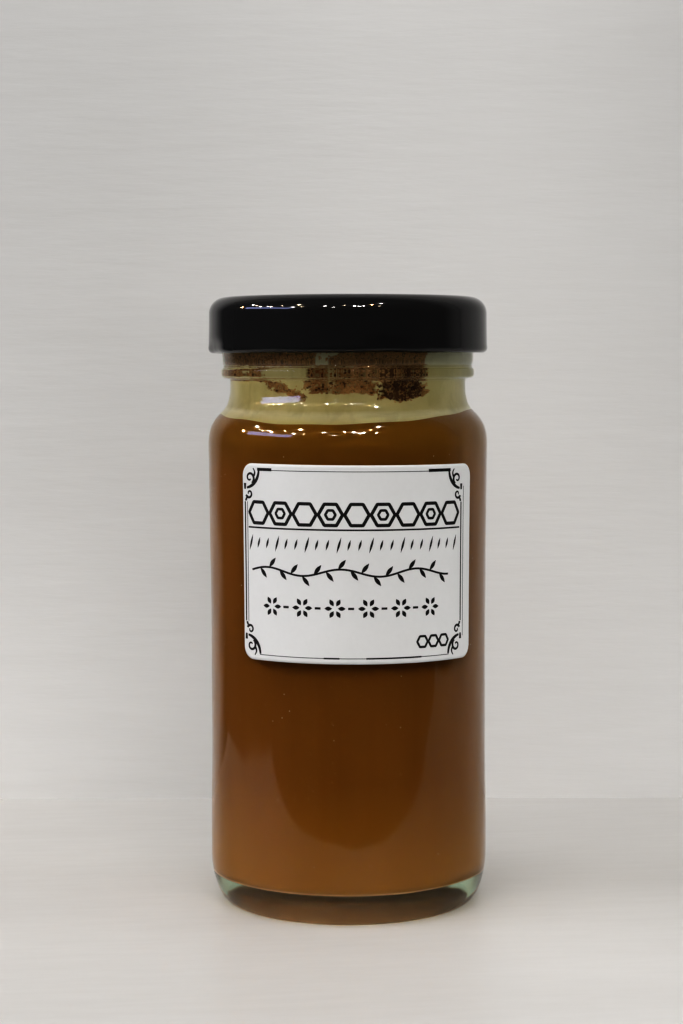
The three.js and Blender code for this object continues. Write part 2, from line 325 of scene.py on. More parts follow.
def cavityProfile():
    # the inside of the glass, from the middle of the floor up to the bore
    g = glassShape
    edge, corner = g["floorEdge"], g["floorCorner"]
    inner = bodyRadius(edge + corner) - g["wall"]
    floorRadius = np.linspace(0.6, inner - corner, 16)
    floor = columns(floorRadius, edge + (g["floorCentre"] - edge) * (1 - (floorRadius / floorRadius[-1]) ** 2))
    heights = np.linspace(edge + corner, g["innerShoulderBottom"], 40)
    wall = columns(bodyRadius(heights) - g["wall"], heights)
    shoulder = shoulderCurve(g["bodyRadius"] - g["wall"], g["innerNeck"], g["innerShoulderBottom"],
                             g["innerShoulderArc"], g["innerNeckArc"], 14)
    rise = np.linspace(shoulder[-1, 1], g["ringTop"], 10)
    widening = (g["boreRadius"] - g["innerNeck"]) * smoothStep(rise, rise[0], rise[-1])
    return chain(floor, arc((inner - corner, edge + corner), corner, corner, -90, 0, 14), wall, shoulder,
                 columns(g["innerNeck"] + widening, rise),
                 columns(g["boreRadius"], np.linspace(g["ringTop"], g["rimTop"] - g["lip"], 8)))


cavity = cavityProfile()


def cavityRadius(z):
    # radius of the inside wall at a height, above the floor's corner
    wall = cavity[cavity[:, 1] >= glassShape["floorEdge"] + 0.01]
    return np.interp(z, wall[:, 1], wall[:, 0])


def outerProfile():
    g = glassShape
    foot, fillet, out, up, lip = g["foot"], g["fillet"], g["ringOut"], g["ringUp"], g["lip"]
    baseRadius = np.linspace(0.6, g["contactInner"] - 0.7, 24)
    dome = g["pushUp"] * (1 - (baseRadius / g["contactInner"]) ** g["hollowPower"])
    shoulder = neckAndShoulder()
    heights = np.linspace(g["heelHeight"], shoulder[0, 1] - 0.6, 96)
    low, top, ring = g["ringBottom"], g["ringTop"], g["ringRadius"] - out
    return chain(
        columns(baseRadius, np.maximum(dome, 0.12)),
        arc((g["contactInner"] + 0.3, foot), foot, foot, 215, 270, 5),
        arc((g["contactOuter"], g["heelHeight"]), g["heelRadius"] - g["contactOuter"], g["heelHeight"], -90, 0, 36),
        columns(bodyRadius(heights), heights),
        shoulder,
        arc((g["neckRadius"] + fillet, low - 0.2), fillet, fillet, 180, 90, 8),
        arc((ring, low + 0.85), out, up, -90, 0, 9),
        arc((ring, top - up), out, up, 0, 75, 9),
        arc((g["finishRadius"] + 0.04, top + 0.32), 0.24, 0.3, -120, -240, 8),
        columns(g["finishRadius"], np.linspace(top + 1.0, g["rimTop"] - lip, 36)),
        arc((g["finishRadius"] - lip, g["rimTop"] - lip), lip, lip, 0, 90, 8),
    )


def glassGrid():
    # the closed profile turned round the axis; the outside gets threads, two mould seams and a faint ripple
    g = glassShape
    outside = outerProfile()
    lip = arc((g["boreRadius"] + g["lip"], g["rimTop"] - g["lip"]), g["lip"], g["lip"], 90, 180, 8)
    path = chain(outside, lip, cavity[::-1])
    angle = ringAngles(g["segments"])
    radius, z = path[:, :1] + 0 * angle, path[:, 1:] + 0 * angle
    out = (np.arange(len(path)) < len(outside))[:, None]
    spin = np.degrees(angle)
    pitch = 360 / g["threadCount"]
    along = ((spin - g["firstLug"] - 45 + pitch / 2) % pitch - pitch / 2) / g["threadSpan"]
    thread = np.where(np.abs(along) < 0.5, 1 - (2 * along) ** 6, 0)
    ridge = bell(z, g["threadLow"] + g["threadRise"] * (along + 0.5), g["threadHeight"])
    threaded = out & (z > g["threadZone"][0]) & (z < g["threadZone"][1])
    radius = radius + np.where(threaded, g["threadDepth"] * thread * ridge, 0)
    body = out * smoothStep(z, *g["rippleZone"][:2]) * (1 - smoothStep(z, *g["rippleZone"][2:]))
    sides = np.minimum(np.abs((spin + 90) % 360 - 180), np.abs((spin - 90) % 360 - 180))
    seam = bell(radius * np.radians(sides), 0, g["seamWidth"])
    # the ripple is a sum of four sines of angle and height
    ripple = (np.sin(3 * angle + z / 5.1) + np.sin(7 * angle - z / 8.3 + 1.1) + 0.8 * np.sin(17 * angle + z / 3.7)
              + 0.5 * np.sin(31 * angle - z / 2.9 + 0.6))
    radius = radius + body * (g["seamHeight"] * seam + g["ripple"] * ripple)
    grid = roundPoint(radius, angle, z)
    hollow = out & (path[:, :1] < g["contactInner"] + 0.4) & (z < g["pushUp"] + 0.1)
    grid[..., 0] += g["hollowShift"] * hollow  # the hollow sits a little off the middle
    return grid


def glassMaterial():
    look = glassLook
    place = newMaterial("clearGlass")
    wave = noise(place, 90.0, 2.0, 0.4, stretch=(1, 1, 0.45))
    low = axis(place, "Z")
    height = wave + noise(place, 900.0, 2.0, 0.5) * fade(low, 0.0018, 0.0004) * 0.6
    # painted shade: the heel's glass is tinted darker olive at the left and right sides
    heel = fade(low, 0.0056, 0.0038) * fade(abs(axis(place, "X")), 0.011, 0.016)
    glass = place.node("BsdfPrincipled", None, {
        "Base Color": mix(heel, ramp(wave, (0.0, look["tones"][0]), (1.0, look["tones"][1])), look["heel"]),
        "Roughness": wave * 0.02 + look["roughness"], "IOR": 1.52, "Transmission Weight": 1.0,
        "Normal": bump(height, 0.12, 0.0004),
    })
    # lamps shine through the glass, dimmed a little
    lamp = place.node("LightPath", output="Is Shadow Ray")
    clear = place.node("BsdfTransparent", None, {"Color": look["shadow"]})
    tint = place.node("VolumeAbsorption", None, {"Color": look["tint"], "Density": look["tintDensity"]})
    return finishMaterial(place, place.node("MixShader", None, {0: lamp, 1: glass, 2: clear}), Volume=tint)


turnedPiece("glass_shell", glassGrid(),
            [(glassShape["hollowShift"], 0, glassShape["pushUp"]), (0, 0, glassShape["floorCentre"])],
            glassMaterial(), "clear_glass", ["glass_jar"])
print("glass made")


# ---- lid

lidShape = {
    "top": 96.7, "radius": 22.12, "rimRadius": 22.25, "corner": 2.6, "bottom": 87.85, "wall": 0.3,
    "panelRadius": 16.6, "panelStep": 0.7, "panelDepth": 0.55, "roll": 0.85,
    "lugs": 4, "firstLug": 10.75, "lugHalfWidth": 15.0, "lugDepth": 0.4, "lugLift": 0.12,
    "segments": 288, "lacquer": (0.025, 0.0245, 0.0245), "dust": (0.06, 0.058, 0.055), "roughness": 0.035,
}


def lugShare(angle):
    # 1 in the middle of a lug, falling smoothly to 0 at its sides
    s = lidShape
    pitch = 360 / s["lugs"]
    off = (np.degrees(angle) - s["firstLug"] + pitch / 2) % pitch - pitch / 2
    return 1 - smoothStep(np.abs(off), 1.5, s["lugHalfWidth"])


def lidGrid():
    # panel, step, rounded corner, side and rolled rim, turned; the lugs push the rim in and up
    s = lidShape
    bottom, roll, rim, out = s["bottom"], s["roll"], s["rimRadius"], s["radius"]
    corner = (out - s["corner"], s["top"] - s["corner"])
    inner = s["corner"] - s["wall"]
    panel = s["top"] - s["panelDepth"]

    def panelPath(lift, shift):
        # flat, then an S-shaped step up to the ring round the edge
        edge = s["panelRadius"] + shift
        r = np.linspace(edge, edge + s["panelStep"], 9)
        rise = smoothStep(r, r[0], r[-1]) * s["panelDepth"]
        flat = columns(np.linspace(0.8, edge, 14), panel + lift)
        return np.concatenate([flat[:-1], columns(r, panel + lift + rise)])

    side = columns(out - s["wall"], np.linspace(corner[1], bottom + 2 * roll + 0.5, 8))
    heights = np.linspace(bottom + 1.4, corner[1], 10)
    lean = out + (rim - 0.06 - out) * (1 - (heights - heights[0]) / np.ptp(heights)) ** 1.5
    path = chain(panelPath(-s["wall"], s["wall"]), arc(corner, inner, inner, 90, 0, 12), side[1:],
                 arc((rim - roll, bottom + roll), roll, roll, -240, 0, 22), columns(lean, heights),
                 arc(corner, s["corner"], s["corner"], 0, 90, 20), panelPath(0, 0)[::-1])
    angle = ringAngles(s["segments"])
    radius, z = path[:, :1] + 0 * angle, path[:, 1:] + 0 * angle
    push = lugShare(angle) * (1 - smoothStep(z, bottom + 0.9, bottom + 2.7))
    radius = radius - s["lugDepth"] * push + 0.012 * np.sin(5 * angle + 0.4) * (z < panel + 0.6)
    return roundPoint(radius, angle, z + s["lugLift"] * push), [(0, 0, path[0, 1]), (0, 0, path[-1, 1])]


def lidMaterial():
    place = newMaterial("blackLacquer")
    orangePeel = noise(place, 420.0, 2.0, 0.5)
    speck = fade(noise(place, 2600.0, 2.0, 0.6), 0.72, 0.8)
    smudge = noise(place, 60.0, 4.0, 0.6)
    colour = mix(speck * 0.25, lidShape["lacquer"], lidShape["dust"])
    return paint(place, colour, smudge * 0.04 + lidShape["roughness"], 1.5, Normal=bump(orangePeel, 0.03, 0.0003))


turnedPiece("lid_shell", *lidGrid(), lidMaterial(), "black_lacquer", ["twist_lid"])
print("lid made")


# ---- honey and foam

fillShape = {
    "reach": 0.06, "segments": 360, "cornerReach": 0.34, "cornerWidth": 0.6, "plainTurn": 58, "plainWidth": 26,
    "wallRadius": 18.0, "layer": 76.46, "rise": 0.72, "dip": 0.45, "dipTurn": -66, "dipWidth": 19,
    "gap": 0.006, "foamTop": 89.2, "foamDome": 0.35,
}

honeyLook = {
    "tones": [(0.264, 0.117, 0.0265), (0.308, 0.140, 0.035)], "grains": (0.44, 0.27, 0.11),
    # low is painted light, paler near the floor; high is painted shade, darker up at the shoulder
    "streaks": (0.37, 0.185, 0.055), "low": (0.50, 0.255, 0.046), "high": (0.21, 0.118, 0.018),
    "underRimLight": (0.46, 0.25, 0.135), "underMiddleLight": (0.98, 0.62, 0.36),
    # painted light on the underside: how much of its brightest colour shows at each distance from the axis
    "underRadii": [4.0, 8.0, 11.0, 13.5, 15.0, 17.0, 18.0], "underShares": [1.0, 1.0, 0.5, 0.12, 0.1, 0.35, 0.85],
}

foamLook = {
    # the colour up under the lid is painted light, against the lid's shade
    "tones": [(0.56, 0.49, 0.275), (0.68, 0.603, 0.355)], "flecks": (0.66, 0.61, 0.42), "upper": (0.98, 0.93, 0.74),
    "band": (0.80, 0.74, 0.56), "bandShare": 0.7, "olive": (0.30, 0.255, 0.135), "brown": (0.22, 0.125, 0.06),
}


def layerHeight(angle, radius):
    # the surface between honey and foam: level, lifted on the right, with a slow ripple
    s = fillShape
    ripple = 0.09 * np.sin(5 * angle + 1.0) + 0.05 * np.sin(11 * angle)
    ripple = ripple - s["dip"] * bell(np.degrees(angle), s["dipTurn"], s["dipWidth"])
    lift = s["rise"] * smoothStep(radius * np.sin(angle), 0.5, 17.0)
    return s["layer"] + lift + ripple * smoothStep(radius, 6.0, 17.0)


def honeyGrid():
    # the floor of the cavity, its wall, and a top that follows the layer height
    s = fillShape
    path = cavity[cavity[:, 1] < s["layer"] - 0.8]
    slope = np.gradient(path, axis=0)
    normal = columns(slope[:, 1], -slope[:, 0])
    normal = (normal / np.linalg.norm(normal, axis=1, keepdims=True))[:, None]
    angle = ringAngles(s["segments"])
    # further into the glass round the floor's corner, but not at the front right
    corner = bell(path[:, 1] - glassShape["floorEdge"], 0.55, s["cornerWidth"]) * (path[:, 0] > 17.0)
    plain = bell((np.degrees(angle) + 180) % 360 - 180, s["plainTurn"], s["plainWidth"])
    path = path[:, None] + normal * (s["reach"] + s["cornerReach"] * corner[:, None] * (1 - plain))[..., None]
    start = path[-1, 0, 1]
    edge = layerHeight(angle, s["wallRadius"])
    upShares = np.concatenate([np.linspace(0, 0.96, 7)[1:], [0.995, 1.0]])
    inShares = np.concatenate([[0.0005, 0.004], np.linspace(0, 1, 22)[1:-1]])
    rows = []
    for z in [start + (edge - start) * share for share in upShares]:
        rows.append(roundPoint(cavityRadius(z) + s["reach"], angle, z))
    for radius in [(cavityRadius(edge) + s["reach"]) * (1 - share) for share in inShares]:
        rows.append(roundPoint(radius, angle, layerHeight(angle, radius)))
    return np.concatenate([roundPoint(path[..., 0], angle, path[..., 1]), np.stack(rows)])


def honeyMaterial():
    look = honeyLook
    place = newMaterial("creamedHoney")
    height = axis(place, "Z")
    cloudy = noise(place, 45.0, 3.0, 0.55, 0.4, stretch=(1, 1, 0.5))
    colour = ramp(cloudy, (0.3, look["tones"][0]), (0.7, look["tones"][1]))
    colour = mix(fade(noise(place, 1900.0, 3.0, 0.6), 0.66, 0.78, 0.35), colour, look["grains"])
    streak = noise(place, 420.0, 2.0, 0.5, stretch=(1, 1, 0.04))
    colour = mix(fade(streak, 0.35, 0.65, 0.10), colour, look["streaks"])
    # painted light, paler near the floor, and painted shade, darker up at the shoulder
    colour = mix(fade(height, 0.022, 0.009, 0.4), colour, look["low"])
    colour = mix(fade(height, 0.069, 0.074, 0.5), colour, look["high"])
    # painted light on the underside and the floor's corner: brightest in the middle, dimmer out at the rim
    below = mix(attribute(place, "lit"), look["underRimLight"], look["underMiddleLight"])
    colour = mix(attribute(place, "under"), colour, below)
    return paint(place, colour, 0.6, 1.05, 0.1)


def cameraTurn(angle):
    # degrees round the jar, counted from the camera's line
    return (np.degrees(angle) + 180) % 360 - 180 + labelTurn


def patchNoise(x, y, cell, seed):
    # smooth noise from 0 to 1: random numbers on a grid of that cell size, blended between its corners
    table = np.random.default_rng(seed).random((64, 64))
    u, v = np.asarray(x) / cell[0], np.asarray(y) / cell[1]
    i, j = np.floor(u).astype(int), np.floor(v).astype(int)
    a, b = smoothStep(u - i, 0, 1), smoothStep(v - j, 0, 1)
    low = table[i % 64, j % 64] * (1 - a) + table[(i + 1) % 64, j % 64] * a
    high = table[i % 64, (j + 1) % 64] * (1 - a) + table[(i + 1) % 64, (j + 1) % 64] * a
    return low * (1 - b) + high * b


def softBox(turn, z, turns, heights, edge=(2.0, 0.25)):
    # 1 inside a range of turns and heights, fading to 0 over the edge
    inside = 1.0
    for at, (low, high), soft in ((turn, turns, edge[0]), (z, heights, edge[1])):
        inside = inside * smoothStep(at, low - soft, low + soft) * (1 - smoothStep(at, high - soft, high + soft))
    return inside


def oval(turn, z, middle, reach):
    # 1 inside an ellipse of turn and height, fading to 0 over its edge
    return 1 - smoothStep(np.hypot((turn - middle[0]) / reach[0], (z - middle[1]) / reach[1]), 0.78, 1.12)


# where crumbs lie: boxes have a range of turns and one of heights, ovals a middle and a reach
crumbPlaces = {
    "strip": ((-84.0, 43.0), (85.7, 90.0)), "stripGap": ((-16.5, -6.5), (84.9, 90.0)),
    "stripLow": ((-95.0, -56.0), (84.9, 86.3)),
    "trail": ((-47.0, 84.2), (-27.0, 81.3), 0.72),  # start, end and thickness
    "middle": ((-21.0, 13.0), (81.65, 85.2)), "lump": ((27.5, 82.5), (15.0, 2.3)), "tip": ((37.0, 81.8), (7.0, 1.0)),
    "lumpGap": ((11.5, 17.5), (82.0, 83.6)), "ringRight": ((2.0, 44.0), (83.9, 86.2)),
    "ringLeft": ((-84.0, -44.0), (83.9, 84.9)), "ringMiddle": ((-14.5, 0.0), (83.9, 86.2)),
    "back": ((100.0, 270.0), 87.1),
    "darkLump": ((27.5, 82.3), (13.5, 2.0)),
    "darkBoxes": [(0.4, (-78.0, -42.0), (85.8, 90.0)), (0.55, (-6.0, 28.0), (86.2, 90.0)),
                  (0.45, (14.0, 40.0), (84.0, 86.5), (3.0, 0.4))],
}


def crumbMap(angle, z):
    # how thickly crumbs lie on the inside of the neck, 0 to 1: patches with their outlines shifted by noise
    c = crumbPlaces
    turn = cameraTurn(angle)
    wave = 0.55 * (patchNoise(turn, z, (7.0, 1.0), 3) - 0.5) + 0.5 * (patchNoise(turn, z, (2.4, 0.4), 4) - 0.5)
    at = z + 0.75 * wave
    side = turn + 5 * wave + 5 * (patchNoise(turn, z, (5.0, 0.7), 8) - 0.5)
    ragged = side + 9 * (patchNoise(turn, z, (11.0, 0.85), 11) - 0.5)
    strip = softBox(ragged, at, *c["strip"]) * (1 - 0.85 * softBox(ragged, at, *c["stripGap"]))
    (t0, z0), (t1, z1), thick = c["trail"]
    share = np.clip((side - t0) / (t1 - t0), 0, 1)
    middle = softBox(side, at + 0.5 * smoothStep(side, 5, 12), *c["middle"])
    lump = np.maximum(oval(side, at, *c["lump"]), oval(side, at, *c["tip"]))
    patches = [
        strip * (1 - 0.7 * softBox(side, at, *c["stripLow"])) * 0.95,
        bell(at, z0 + (z1 - z0) * share, thick) * (side > t0 - 3) * (side < t1 + 4),
        middle * (0.82 - 0.35 * bell(side, -8.0, 3.0)),
        lump * (1 - 0.75 * softBox(side, at, *c["lumpGap"])),
        softBox(ragged, at, *c["ringRight"]) * 0.9, softBox(ragged, at, *c["ringLeft"]),
        softBox(ragged, at, *c["ringMiddle"]) * 0.55,
    ]
    backTurns, backHeight = c["back"]
    behind = (turn % 360 > backTurns[0]) * (turn % 360 < backTurns[1])
    edge = at + 1.6 * (patchNoise(turn, 0 * z, (23.0, 1.0), 9) - 0.5)
    patches.append(behind * smoothStep(edge, backHeight - 0.3, backHeight + 0.5))
    density = np.max(patches, axis=0)
    return np.clip(density * (0.85 + 0.8 * patchNoise(turn, z, (3.0, 0.5), 5)) - 0.12, 0, 1)


def darkMap(angle, z):
    # the share of crumbs that are nearly black
    turn = cameraTurn(angle)
    spots = 0.85 * oval(turn, z, *crumbPlaces["darkLump"])
    for share, *box in crumbPlaces["darkBoxes"]:
        spots = np.maximum(spots, share * softBox(turn, z, *box))
    return np.clip(spots * (0.5 + patchNoise(turn, z, (3.5, 0.9), 6)), 0.06, 1)


def foamGrid():
    # out along the layer, up the wall, and in over the domed top
    s = fillShape
    angle = ringAngles(s["segments"])
    edge = layerHeight(angle, s["wallRadius"])
    rows = []
    for share in np.concatenate([np.linspace(0.03, 0.97, 18), [0.996, 0.9995, 1.0]]):
        radius = (cavityRadius(edge) + s["reach"]) * share
        rows.append(roundPoint(radius, angle, layerHeight(angle, radius) + s["gap"]))
    for share in np.concatenate([[0.0004, 0.003], np.linspace(0, 1, 60)[1:]]):
        height = edge + s["gap"] + (s["foamTop"] - 0.5 - edge) * share
        rows.append(roundPoint(cavityRadius(height) + s["reach"], angle, height))
    for share in np.linspace(1, 0.03, 26)[1:]:
        radius = (glassShape["boreRadius"] + s["reach"]) * share
        bumps = 0.12 * np.sin(4 * angle + 9 * share) + 0.08 * np.sin(9 * angle - 14 * share)
        height = s["foamTop"] - 0.5 * share ** 8 + s["foamDome"] * (1 - share ** 2) + bumps * share
        rows.append(roundPoint(radius, angle, height))
    return np.stack(rows)


def foamMaterial():
    look = foamLook
    place = newMaterial("honeyFoam")
    height = axis(place, "Z")
    colour = ramp(noise(place, 130.0, 4.0, 0.6), (0.25, look["tones"][0]), (0.75, look["tones"][1]))
    colour = mix(fade(noise(place, 1500.0, 3.0, 0.6), 0.6, 0.75, 0.35), colour, look["flecks"])
    # painted light: paler up under the lid, where the lid's overhang shades the foam
    colour = mix(fade(height, 0.085, 0.0872, 0.95), colour, look["upper"])
    # a paler band just above the honey, then olive smears and brown where crumbs lie
    smear = noise(place, 330.0, 4.0, 0.6, 0.6, stretch=(1, 1, 0.4))
    none, full = (0.0, 0.0, 0.0), (look["bandShare"],) * 3
    band = ramp(height * 125.0 - 9.5 + smear * 0.12, (0.12, none), (0.24, full), (0.36, none))
    colour = mix(band, colour, look["band"])
    colour = mix(fade(smear, 0.48, 0.72, 0.3), colour, look["olive"])
    patchy = noise(place, 420.0, 4.0, 0.65)
    brown = fade(patchy * 0.7 + attribute(place, "stain") * 0.8, 0.5, 1.0)
    colour = mix(brown * 0.8, colour, look["brown"])
    return paint(place, colour, 0.7, 1.05, 0.1)


honeyMesh = honeyGrid()
honeyPoles = [(0, 0, glassShape["floorCentre"] - 0.06), (0, 0, fillShape["layer"])]
honeyPiece = turnedPiece("honey_fill", honeyMesh, honeyPoles, honeyMaterial(), "creamed_honey", ["honey"])
honeyPoints = np.concatenate([honeyMesh.reshape(-1, 3), [(0, 0, 5), (0, 0, 77)]])
fromAxis = np.hypot(honeyPoints[:, 0], honeyPoints[:, 1])
# the underside and a band round the floor's corner take the painted light
lowest = 1 - smoothStep(honeyPoints[:, 2], glassShape["floorEdge"], glassShape["floorEdge"] + 0.25)
addAttribute(honeyPiece, "under", np.where(fromAxis < 16.5, honeyPoints[:, 2] < 10, lowest))
addAttribute(honeyPiece, "lit", np.interp(fromAxis, honeyLook["underRadii"], honeyLook["underShares"]))
foamMesh = foamGrid()
foamPoles = [(0, 0, fillShape["layer"] + fillShape["gap"]), (0, 0, fillShape["foamTop"] + fillShape["foamDome"])]
foamPiece = turnedPiece("foam_fill", foamMesh, foamPoles, foamMaterial(), "honey_foam", ["foam_with_crumbs"])
foamPoints = np.concatenate([foamMesh.reshape(-1, 3), [(0, 0, 77), (0, 0, 89.5)]])
addAttribute(foamPiece, "stain", crumbMap(np.arctan2(foamPoints[:, 0], -foamPoints[:, 1]), foamPoints[:, 2]))
print("honey and foam made")


# ---- crumbs on and in the foam, specks in the honey

crumbShape = {
    "seed": 7, "wall": 12000, "drawsEach": 8, "heights": (79.5, 88.9), "top": 340, "size": 0.115, "topSize": 0.23,
    "darkScale": 1.25, "poke": 0.16, "specks": 150, "speckHeights": (9.0, 74.5), "speckSize": 0.06,
    "brown": [(0.24, 0.115, 0.053), (0.66, 0.41, 0.21)], "dark": [(0.065, 0.042, 0.03), (0.24, 0.14, 0.08)],
    "pale": [(0.50, 0.36, 0.20), (0.80, 0.68, 0.48)], "upper": (0.80, 0.54, 0.32),
}


def icosahedron():
    golden = (1 + 5 ** 0.5) / 2
    cross = np.array([(-1, golden, 0), (1, golden, 0), (-1, -golden, 0), (1, -golden, 0)])
    points = np.concatenate([np.roll(cross, k, axis=1) for k in range(3)])
    faces = np.array([
        (0, 11, 5), (0, 5, 1), (0, 1, 7), (0, 7, 10), (0, 10, 11), (1, 5, 9), (5, 11, 4), (11, 10, 2),
        (10, 7, 6), (7, 1, 8), (3, 9, 4), (3, 4, 2), (3, 2, 6), (3, 6, 8), (3, 8, 9), (4, 9, 5),
        (2, 4, 11), (6, 2, 10), (8, 6, 7), (9, 8, 1)])
    return points / np.linalg.norm(points[0]), faces


def scatterLumps(name, centres, sizes, material, rng, slot="honey_foam"):
    # one joined mesh of uneven lumps: a solid of twenty faces, stretched, turned and set down at each centre
    shape, faces = icosahedron()
    count = len(centres)
    jitter = 1 + 0.22 * rng.standard_normal((count, len(shape), 1)).clip(-1.4, 1.4)
    stretch = rng.uniform(0.7, 1.25, (count, 1, 3))
    turn, tip = rng.uniform(0, 2 * np.pi, (2, count))
    c, s, ct, st = np.cos(turn), np.sin(turn), np.cos(tip), np.sin(tip)
    spinZ = columns(c, -s, 0, s, c, 0, 0, 0, 1).reshape(count, 3, 3)
    spinX = columns(1 + 0 * c, 0, 0, 0, ct, -st, 0, st, ct).reshape(count, 3, 3)
    points = shape[None] * jitter * stretch
    points = np.einsum("nij,nkj->nki", spinZ @ spinX, points) * sizes[:, None, None] + centres[:, None]
    index = faces[None] + (np.arange(count) * len(shape))[:, None, None]
    makePiece(name, points.reshape(-1, 3), material, slot, triangles=index.reshape(-1, 3), smooth=False)


def crumbMaterial(name, tones):
    # mottled between the deeper and the lighter tone, and paler under the lid as painted light against the lid's shade
    place = newMaterial(name)
    mottle = noise(place, 260.0, 2.0, 0.5) * 0.6 + noise(place, 2200.0, 3.0, 0.6) * 0.4
    colour = ramp(mottle, (0.35, tones[0]), (0.68, tones[1]))
    # painted light up under the lid
    colour = mix(fade(axis(place, "Z"), 0.0852, 0.0872, 0.75), colour, crumbShape["upper"])
    return paint(place, colour, 0.75, 1.1, 0.2)


def wallCrumbs(rng, count, size):
    # draws places on the inside wall and keeps those where the crumb map beats a random number
    draws = count * crumbShape["drawsEach"]
    angle = rng.uniform(-np.pi, np.pi, draws)
    z = rng.uniform(*crumbShape["heights"], draws)
    chosen = np.flatnonzero(crumbMap(angle, z) > rng.uniform(0, 1, draws))[:count]
    angle, z = angle[chosen], z[chosen]
    sizes = size * rng.uniform(0.55, 1.7, len(z)) ** 1.3
    radius = cavityRadius(z) + crumbShape["poke"] - sizes * rng.uniform(0.7, 1.3, len(z))
    dark = darkMap(angle, z) > rng.uniform(0, 1, len(z))
    return roundPoint(radius, angle, z), sizes, dark


def topCrumbs(rng, count, size):
    # evenly over the domed top of the foam
    bore = glassShape["boreRadius"]
    radius = (bore - 0.5) * np.sqrt(rng.uniform(0, 1, count))
    angle = rng.uniform(-np.pi, np.pi, count)
    z = fillShape["foamTop"] + fillShape["foamDome"] * (1 - (radius / bore) ** 2) + 0.05
    return roundPoint(radius, angle, z), size * rng.uniform(0.6, 1.7, count)


rng = np.random.default_rng(crumbShape["seed"])
wallCentres, wallSizes, isDark = wallCrumbs(rng, crumbShape["wall"], crumbShape["size"])
topCentres, topSizes = topCrumbs(rng, crumbShape["top"], crumbShape["topSize"])
scatterLumps("crumbs_brown", np.concatenate([wallCentres[~isDark], topCentres]),
             np.concatenate([wallSizes[~isDark], topSizes]), crumbMaterial("brownCrumb", crumbShape["brown"]), rng)
scatterLumps("crumbs_dark", wallCentres[isDark], wallSizes[isDark] * crumbShape["darkScale"],
             crumbMaterial("darkCrumb", crumbShape["dark"]), rng)
# pale specks here and there in the honey, right behind the glass
speckCount = crumbShape["specks"]
speckAngle = rng.uniform(-np.pi, np.pi, speckCount)
speckHeight = rng.uniform(*crumbShape["speckHeights"], speckCount)
scatterLumps("honey_specks", roundPoint(cavityRadius(speckHeight) + 0.08, speckAngle, speckHeight),
             crumbShape["speckSize"] * rng.uniform(0.7, 1.5, speckCount),
             crumbMaterial("paleSpeck", crumbShape["pale"]), rng, "creamed_honey")
print("crumbs made", int((~isDark).sum()), int(isDark.sum()))


# ---- label

labelShape = {
    "width": 40.4, "bottom": 40.8, "top": 70.95, "corner": 2.0, "gap": 0.02, "thickness": 0.12, "tilt": 0.4,
    "columns": 160, "rows": 70, "paper": [(0.72, 0.717, 0.711), (0.768, 0.765, 0.761)],
    "inkTones": [(0.008, 0.008, 0.009), (0.022, 0.021, 0.02)],
}


def onLabel(u, v, lift):
    # wraps a point of the flat label round the jar: u along, v up from its middle, lift off the paper's face
    s = labelShape
    z = (s["top"] + s["bottom"]) / 2 + v - u * np.tan(np.radians(s["tilt"]))
    radius = bodyRadius(z) + s["gap"] + s["thickness"] + lift
    return roundPoint(radius, u / glassShape["bodyRadius"], z)


def labelPaper(material):
    # columns are closer at the rounded ends; half height is full, then follows the corner's circle
    s = labelShape
    half, flat = (s["top"] - s["bottom"]) / 2, s["width"] / 2 - s["corner"]
    ends = flat + s["corner"] * np.sin(np.linspace(0, np.pi / 2, 13))[1:]
    u = np.concatenate([-ends[::-1], np.linspace(-flat, flat, s["columns"]), ends])
    into = np.maximum(0, np.abs(u) - flat)
    tall = half - s["corner"] + np.sqrt(np.maximum(s["corner"] ** 2 - into ** 2, 0))
    share = np.linspace(-1, 1, s["rows"])
    uu, vv = u[:, None] + 0 * share, tall[:, None] * share
    vertices = [onLabel(uu, vv, lift).reshape(-1, 3) for lift in (0.0, -s["thickness"])]
    lines, rows = uu.shape
    size, last = lines * rows, (lines - 1) * rows
    sheet = gridQuads(lines, rows, closed=False)
    c, r = np.arange(lines - 1) * rows, np.arange(rows - 1)
    edges = [(c + size, c + rows + size, c + rows, c),
             (c + rows - 1, c + 2 * rows - 1, c + 2 * rows - 1 + size, c + rows - 1 + size),
             (r + size, r, r + 1, r + 1 + size),
             (last + r, last + r + size, last + r + 1 + size, last + r + 1)]
    faces = [sheet[:, [0, 3, 2, 1]], sheet + size] + [columns(*edge) for edge in edges]
    makePiece("label_paper", np.concatenate(vertices), material, "white_paper", np.concatenate(faces),
              stands=["paper_label"])


def paperMaterial():
    place = newMaterial("whitePaper")
    fibre = noise(place, 1300.0, 4.0, 0.65)
    tone = noise(place, 70.0, 3.0, 0.5)
    colour = ramp(tone * 0.7 + fibre * 0.3, (0.3, labelShape["paper"][0]), (0.7, labelShape["paper"][1]))
    return paint(place, colour, tone * 0.1 + 0.5, 1.45, Normal=bump(fibre, 0.12, 0.00006))


def inkMaterial():
    place = newMaterial("blackInk")
    tones = labelShape["inkTones"]
    colour = ramp(noise(place, 1800.0, 3.0, 0.6), (0.3, tones[0]), (0.75, tones[1]))
    return paint(place, colour, 0.55, 1.4)


printShape = {
    "left": -19.7, "right": 17.7, "secondRule": 0.6, "top": 14.2, "bottom": -14.2, "ink": 0.012, "sink": 0.02,
    "rule": 0.25, "fineRule": 0.10, "dash": 0.46, "scroll": 2.9, "scrollLine": 0.40,
    "titleMiddle": 7.45, "titleHeight": 3.7, "titleLine": 0.5, "titleCells": 9,
    "fineRow": 3.05, "fineRowCount": 22, "sprigRow": -1.2, "flowerRow": -6.6, "cellsRow": -11.9,
}


